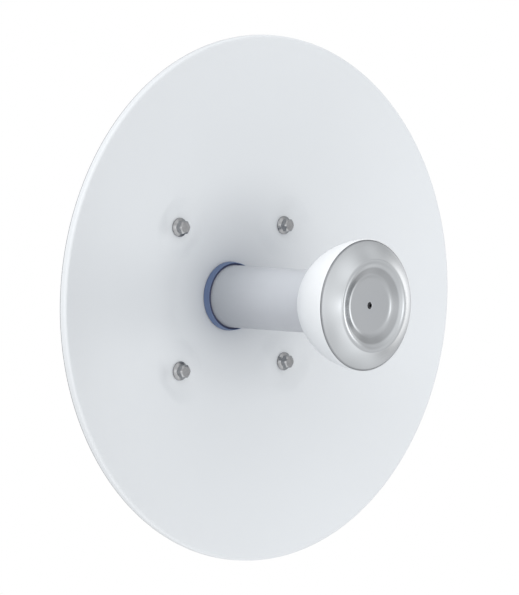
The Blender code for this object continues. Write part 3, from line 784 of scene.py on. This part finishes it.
def thread(name, radius, pitch, low, high):
    """A true helix: one tooth is drawn as a line, wound up by the Screw modifier, and cut off level."""
    tooth = 0.5 * pitch
    steps_a_turn = 20
    select_nothing()
    bpy.ops.mesh.primitive_plane_add(size=0.001)
    rod = bpy.context.object
    rod.name = name
    bpy.ops.object.mode_set(mode="EDIT")
    bpy.ops.mesh.select_mode(type="VERT")
    bpy.ops.mesh.select_all(action="SELECT")
    bpy.ops.mesh.merge(type="CENTER")
    bpy.ops.transform.translate(value=(radius - tooth, 0, low - 1.5 * pitch))
    for out, rise in ((0, 0.20), (tooth, 0.32), (0, 0.14), (-tooth, 0.34)):
        bpy.ops.mesh.extrude_region_move(TRANSFORM_OT_translate={"value": (out, 0, rise * pitch)})
    leave_edit_mode()
    helix = rod.modifiers.new("helix", "SCREW")
    helix.axis = "Z"
    helix.screw_offset = pitch
    helix.iterations = int((high - low) / pitch) + 3
    helix.steps = steps_a_turn
    helix.render_steps = steps_a_turn
    apply_all(rod)

    edit_whole()
    bpy.ops.mesh.remove_doubles(threshold=SAME_POINT)
    for height, way in ((low, -1), (high, 1)):
        bpy.ops.mesh.select_all(action="SELECT")
        bpy.ops.mesh.bisect(
            plane_co=(0, 0, height), plane_no=(0, 0, way),
            use_fill=True, clear_outer=True, threshold=CUT_ACCURACY,
        )
    bpy.ops.mesh.select_all(action="SELECT")
    bpy.ops.mesh.normals_make_consistent(inside=False)
    leave_edit_mode()
    chamfer_end(rod, low)
    bpy.ops.object.shade_smooth_by_angle(angle=radians(40))
    return rod


def chamfer_end(rod, height):
    """Draws the last turn of a thread in, as a chamfered end has it."""
    reach, narrowing = 0.00001, 0.86
    pick(rod)
    for vert in rod.data.vertices:
        vert.select = vert.co.z < height + reach
    bpy.ops.object.mode_set(mode="EDIT")
    bpy.ops.mesh.select_mode(type="VERT")
    bpy.ops.transform.resize(value=(narrowing, narrowing, 1), center_override=(0, 0, height))
    leave_edit_mode()


def washer(name, bore, radius, thickness):
    edge = 0.0002
    rings = [
        (bore, 0.0), (radius - edge, 0.0), (radius, edge), (radius, thickness - edge),
        (radius - edge, thickness), (bore, thickness),
    ]
    return turn_up(name, rings, sides=48, is_ring=True)


def nut(name, size):
    """Hexagon nut on a washer, with a countersunk bore."""
    bore = size.shank + 0.0002
    bearing = size.height * 0.18
    body = turned_hexagon(name, size.apothem, bearing - OVERLAP, size.height, is_nut=True)
    countersink = [(bore, -0.001), (bore, size.height - 0.0006), (bore + 0.0016, size.height + 0.001)]
    combine(body, turn_up("reamer", countersink, sides=32), "DIFFERENCE")
    round_edges(body, width=0.00012, angle=25)
    return join(body, washer("nut_washer", bore, size.apothem * 1.3, bearing))


def bolt(name, size, length):
    """Hexagon bolt with a washer under its head and a thread to its end."""
    bearing = size.height * 0.2
    head = turned_hexagon(name, size.apothem, bearing - OVERLAP, size.height, dimple=True)
    round_edges(head, width=0.00015, angle=25)
    under = washer("bolt_washer", size.shank + 0.0002, size.apothem * 1.35, bearing)
    return join(head, under, thread("bolt_thread", size.shank, size.pitch, -length, bearing))


def flange_bolt(name):
    """Hexagon bolt with a coned flange, which holds the dish."""
    head = turned_hexagon(name, M6.apothem, 0.0006, HEAD_HEIGHT, crown=0.82, slope=38)
    edge = FLANGE_RADIUS
    cone = [
        (edge - 0.0003, 0.0), (edge, 0.0002), (edge, 0.0007), (edge - 0.0002, 0.0010),
        (edge - 0.0008, 0.0013), (M6.apothem * 1.17, 0.0022), (M6.apothem * 1.05, 0.0026),
    ]
    combine(head, turn_up("flange", cone, sides=72), "UNION")
    round_edges(head, width=0.00016, angle=25)
    head.rotation_euler = (0, 0, pi / 6)
    settle(head)
    return join(head, thread("flange_bolt_thread", M6.shank, M6.pitch, -0.0182, 0.001))


def fit_copy(model, name, point, direction, finish, node):
    """Stands a copy of a fixing in its place; a finish is a material and its slot."""
    add_piece(stand(another(model, name), point, direction), *finish, node)


def fixings(front_steel, rear_steel):
    """Each kind of bolt and nut is made once and copied to its places."""
    front = (front_steel, "front_fixings")
    rear = (rear_steel, "rear_fixings")

    model = flange_bolt("flange_bolt")
    flange_nut = nut("flange_nut", M6)
    for corner, (across, up) in CORNERS.items():
        x, z = across * BOLT_OFFSET, up * BOLT_OFFSET
        seat = (x, RIM_Y + SEAT_DEPTH - GAP, z)
        fit_copy(model, "flange_bolt_" + corner, seat, FORWARDS, front, "bolt_" + corner)
        seat = (x, RIM_Y + FRAME_BACK_DEPTH + GAP, z)
        fit_copy(flange_nut, "flange_nut_" + corner, seat, BACKWARDS, rear, "nut_" + corner)
    discard(model)
    discard(flange_nut)

    head_y = JAW_BACK + GAP
    nut_y = -PLATE - GAP
    model = bolt("long_bolt", M8, head_y - nut_y + M8.height + 0.004)
    plain_nut = nut("plain_nut", M8)
    for corner, (across, up) in CORNERS.items():
        x, z = across * CLAMP_BOLT_X, up * CLAMP_BOLT_Z
        fit_copy(model, "long_bolt_" + corner, (x, head_y, z), BACKWARDS, rear, "clamp_bolt_" + corner)
        fit_copy(plain_nut, "long_bolt_nut_" + corner, (x, nut_y, z), FORWARDS, rear, "clamp_nut_" + corner)
    discard(model)

    outside = FRAME_HALF_WIDTH + GAP
    inside = FRAME_HALF_WIDTH - 2 * PLATE - 2 * GAP
    y = RIM_Y + PIVOT_DEPTH
    model = bolt("short_bolt", M8, outside - inside + M8.height + 0.002)
    for kind, z in (("pivot", PIVOT_Z), ("lock", PIVOT_Z - LOCK_RADIUS)):
        for label, side in SIDES.items():
            name, node = f"{kind}_screw_{label}", f"{kind}_bolt_{label}"
            fit_copy(model, name, (side * outside, y, z), (side, 0, 0), rear, node)
            name, node = f"{kind}_screw_nut_{label}", f"{kind}_nut_{label}"
            fit_copy(plain_nut, name, (side * inside, y, z), (-side, 0, 0), rear, node)
    discard(model)
    discard(plain_nut)


# The housing, its cover and the cable gland

def housing(material):
    """Round housing with a socket for the feed tube, a parting groove and a boss for the gland."""
    front = -HUB_FRONT_DEPTH
    back = -HUB_BACK_DEPTH
    socket = TUBE_FOOT_RADIUS + GAP
    groove = HUB_RADIUS - 0.0007
    front_edge, back_edge = 0.0012, 0.004
    rings = [(socket, -TUBE_FOOT_DEPTH - GAP), (socket, front), (HUB_RADIUS - front_edge, front)]
    rings += arc(HUB_RADIUS - front_edge, front - front_edge, front_edge, radians(75), 0, 5)
    rings += [(HUB_RADIUS, -0.0690), (groove, -0.0693), (groove, -0.0699), (HUB_RADIUS, -0.0702)]
    rings += arc(HUB_RADIUS - back_edge, back + back_edge, back_edge, 0, radians(-90), 8)
    rings += [(0.020, back)]
    shell = face_front(turn_up("housing_shell", rings, sides=128, smooth=25))
    boss = turn_up("boss", [(0.0130, 0.0), (0.0130, 0.030)], sides=64)
    combine(shell, stand(boss, (0, RIM_Y + GLAND_DEPTH, GLAND_TOP + GAP), UPWARDS), "UNION")
    round_edges(shell, width=0.0004, angle=25)
    add_piece(shell, material, "housing_plastic", "hub_housing")


def cover(material, steel):
    """Stepped rear cover with six small screws in round pockets."""
    back = -COVER_DEPTH
    face = 0.0067
    rings = [(0.0450, back), (0.0457, back - 0.0006), (0.0457, back - 0.0026)]
    rings += arc(0.0450, back - 0.0026, 0.0007, 0, radians(-80), 4)
    rings += [(0.0424, back - 0.0034), (0.0416, back - 0.0040), (0.0408, back - 0.0056)]
    rings += arc(0.0398, back - 0.0057, 0.0010, radians(-10), radians(-90), 5)
    rings += [(0.0170, back - face), (0.0164, back - 0.0061), (0.0100, back - 0.0061)]
    plate = face_front(turn_up("rear_cover", rings, sides=128, smooth=25))
    face_y = RIM_Y - back + face
    pocket_depth = 0.0014
    screw = small_screw("cover_screw")
    screws = []
    for step in range(6):
        turn = pi / 3 * step + pi / 6
        x, z = COVER_SCREW_CIRCLE * cos(turn), COVER_SCREW_CIRCLE * sin(turn)
        pocket = turn_up("pocket", [(0.0032, -pocket_depth), (0.0032, -0.0003), (0.0041, 0.0010)], sides=40)
        combine(plate, stand(pocket, (x, face_y, z), BACKWARDS), "DIFFERENCE")
        place = (x, face_y - pocket_depth, z)
        screws.append(stand(another(screw, f"cover_screw_{step + 1}"), place, BACKWARDS))
    discard(screw)
    round_edges(plate, width=0.0002, angle=25)
    add_piece(plate, material, "cover_plastic", "hub_cover")
    for piece in screws:
        add_piece(piece, steel, "rear_fixings")


def small_screw(name):
    """Round-headed screw with a hexagon socket."""
    rings = [(0.0012, -0.0030), (0.0012, 0.0), (0.0024, 0.0), (0.0025, 0.0003)]
    rings += arc(0.0017, 0.0004, 0.0008, radians(10), radians(80), 6)
    screw = turn_up(name, rings, sides=40)
    combine(screw, hexagon("socket", 0.0010, 0.0003, 0.003), "DIFFERENCE")
    round_edges(screw, width=0.00008, angle=40)
    return screw


def gland(material):
    """Cable gland under the housing: a hexagon body, and a domed cap with its rubber seal."""
    place = (0, RIM_Y + GLAND_DEPTH, GLAND_TOP)
    body = turned_hexagon("gland_body", 0.0095, 0.0009, 0.0060, is_nut=True)
    combine(body, turn_up("flange", [(0.0098, 0.0), (0.0098, 0.0008), (0.0094, 0.0012)], sides=64), "UNION")
    neck = [(0.0080, 0.0050), (0.0080, 0.0064), (0.0077, 0.0067), (0.0080, 0.0070)]
    neck += [(0.0077, 0.0074), (0.0080, 0.0078), (0.0077, 0.0082), (0.0080, 0.0086), (0.0078, 0.0090)]
    combine(body, turn_up("neck", neck, sides=64), "UNION")
    combine(body, turn_up("reamer", [(GLAND_BORE, -0.002), (GLAND_BORE, 0.012)], sides=48), "DIFFERENCE")
    round_edges(body, width=0.0002, angle=25)
    add_piece(stand(body, place, DOWNWARDS), material, "black_plastic", "cable_gland")

    low = 0.0093
    rings = [(0.0096, low), (0.0100, low + 0.0005), (0.0100, 0.0145), (0.0094, 0.0164)]
    rings += [(0.0084, 0.0178), (0.0072, 0.0189), (0.0062, 0.0195), (0.0052, 0.0198)]
    cap = turn_up("gland_dome", rings, sides=64, smooth=50)
    combine(cap, hexagon("corners", 0.0086, low - 0.001, 0.022), "INTERSECT")
    mouth = [(GLAND_BORE, low - 0.002), (GLAND_BORE, 0.0190), (GLAND_BORE + 0.0014, 0.0206)]
    combine(cap, turn_up("reamer", mouth, sides=48), "DIFFERENCE")
    round_edges(cap, width=0.0003, angle=25)
    seal = [(0.0032, 0.0120), (0.0041, 0.0120), (0.0041, 0.0186)]
    seal += [(0.0038, 0.0190), (0.0034, 0.0190), (0.0032, 0.0188)]
    cap = join(cap, turn_up("seal", seal, sides=48, is_ring=True))
    add_piece(stand(cap, place, DOWNWARDS), material, "black_plastic", "gland_cap")


# The bent steel

def steel_blank(name, node):
    """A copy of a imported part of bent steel, its triangles joined back into whole faces."""
    blank = bpy.data.objects.new(name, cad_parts[node].data.copy())
    bpy.context.scene.collection.objects.link(blank)
    pick(blank)
    edit_whole()
    bpy.ops.mesh.remove_doubles(threshold=SAME_PACKED_POINT)
    bpy.ops.mesh.dissolve_limited(angle_limit=radians(1))
    bpy.ops.mesh.normals_make_consistent(inside=False)
    leave_edit_mode()
    return blank


def tilt_scale(plate, side):
    """Short engraved marks every 5 degrees under the curved slot of a cheek, every second one longer."""
    width, depth = 0.0006, 0.0004
    centre = Vector((side * FRAME_HALF_WIDTH, RIM_Y + PIVOT_DEPTH, PIVOT_Z))
    for step in range(-4, 5):
        turn = radians(5 * step)
        length = 0.0032 if step % 2 == 0 else 0.0020
        reach = TILT_MARKS_RADIUS + length / 2
        mark = block((width, depth, length), (0, 0, 0))
        mark.rotation_euler = (turn, 0, 0)
        mark.location = centre + Vector((0, sin(turn), -cos(turn))) * reach
        combine(plate, settle(mark), "DIFFERENCE")


def bent_steel(material):
    plate = steel_blank("frame_plate", "mounting_frame")
    for side in SIDES.values():
        tilt_scale(plate, side)
    round_edges(plate, width=0.0004, angle=50)
    add_piece(plate, material, "painted_steel", "mounting_frame")
    for name, node in (("bracket_plate", "mast_bracket"), ("jaw_plate", "clamp_jaw")):
        plate = steel_blank(name, node)
        round_edges(plate, width=0.0004, angle=50)
        add_piece(plate, material, "painted_steel", node)


# Lights, floor and camera

def studio():
    """White walls with soft lights on them, and a pale floor. The camera sees the walls plain white."""
    world = bpy.data.worlds.new("studio")
    world.use_nodes = True
    walls = Wiring(world.node_tree)
    direction = walls.nodes.new("ShaderNodeTexCoord").outputs["Generated"]
    glows = [soft_light(walls, direction, *light) for light in SOFT_LIGHTS]
    total = glows[0]
    for glow in glows[1:]:
        total = walls.maths("ADD", total, glow)
    total = walls.maths("ADD", total, EVEN_LIGHT)
    seen = walls.nodes.new("ShaderNodeMix")
    walls.feed(seen.inputs["Factor"], walls.nodes.new("ShaderNodeLightPath").outputs["Is Camera Ray"])
    walls.feed(seen.inputs["A"], total)
    walls.feed(seen.inputs["B"], 1)
    background = walls.nodes["Background"]
    walls.feed(background.inputs["Strength"], seen.outputs["Result"])
    walls.feed(background.inputs["Color"], (1, 1, 1, 1))
    bpy.context.scene.world = world
    bpy.context.scene.view_settings.view_transform = "Standard"

    select_nothing()
    bpy.ops.mesh.primitive_plane_add(size=FLOOR_SIZE, location=(0, 0, FLOOR_Z))
    floor = bpy.context.object
    floor.name = "floor"
    settle(floor)
    pale = Finish("pale floor", 0.9)
    pale.paint(pale.blend_colours(pale.noise(scale=0.5, detail=2), (0.92, 0.92, 0.92), (0.94, 0.94, 0.94)))
    pale.shader.inputs["Emission Color"].default_value = (1, 1, 1, 1)
    pale.shader.inputs["Emission Strength"].default_value = 0.3
    floor.data.materials.append(pale.material)
    floor.visible_diffuse = False
    floor.visible_glossy = False


def soft_light(walls, direction, turn, height, level, narrowness):
    """One soft light, brightest in its own direction and fading all round it."""
    turn, height = radians(turn), radians(height)
    lamp = (sin(turn) * cos(height), -cos(turn) * cos(height), sin(height))
    facing = walls.vector_maths("DOT_PRODUCT", direction, lamp, result="Value")
    ahead = walls.maths("MAXIMUM", facing, 0)
    fade = walls.maths("POWER", ahead, narrowness)
    return walls.maths("MULTIPLY", fade, level)


def photo_camera():
    """Camera at the photograph's place, slightly above the antenna and to its left."""
    camera = bpy.data.objects.new("camera", bpy.data.cameras.new("camera"))
    camera.location = CAMERA_PLACE
    camera.rotation_mode = "QUATERNION"
    camera.rotation_quaternion = (-Vector(CAMERA_BACKWARDS)).to_track_quat("-Z", "Y")
    camera.data.sensor_width = CAMERA_SENSOR
    camera.data.lens = CAMERA_LENS
    bpy.context.scene.collection.objects.link(camera)
    bpy.context.scene.camera = camera


photo_camera()
studio()

white_coat = dish_coat("white_powder_coat", 0.74, (0.93, 0.965, 1.0))
tube_plastic = tube_finish("tube_plastic", (0.53, 0.55, 0.585), 0.34)
radome_plastic = radome_finish("radome_plastic", (0.80, 0.82, 0.84), 0.42)
blue_plastic = moulded_plastic("blue_plastic", (0.120, 0.168, 0.295), 0.44, specular=0.3).material
seal_rubber = moulded_plastic("seal_rubber", (0.035, 0.042, 0.095), 0.55).material
satin_metal = turned_metal("turned_aluminium", (0.53, 0.55, 0.57), 0.17)
dark_steel = plated_steel("blackened_steel", (0.06, 0.06, 0.065), 0.35)
stainless = plated_steel("stainless_steel", (0.34, 0.345, 0.355), 0.15)
zinc = plated_steel("zinc_plate", (0.33, 0.335, 0.34), 0.28)
grey_coat = powder_coat("grey_powder_coat", 0.52, (0.95, 0.975, 1.0)).material
housing_plastic = moulded_plastic("housing_plastic", (0.66, 0.67, 0.69), 0.45).material
cover_plastic = moulded_plastic("cover_plastic", (0.40, 0.42, 0.45), 0.48).material
black_plastic = moulded_plastic("black_plastic", (0.020, 0.020, 0.021), 0.45).material

dish(white_coat)
collar(blue_plastic, seal_rubber)
tube(tube_plastic)
radome(radome_plastic)
sub_reflector(satin_metal)
centre_screw(dark_steel)
fixings(stainless, zinc)
housing(housing_plastic)
cover(cover_plastic, zinc)
gland(black_plastic)
bent_steel(grey_coat)
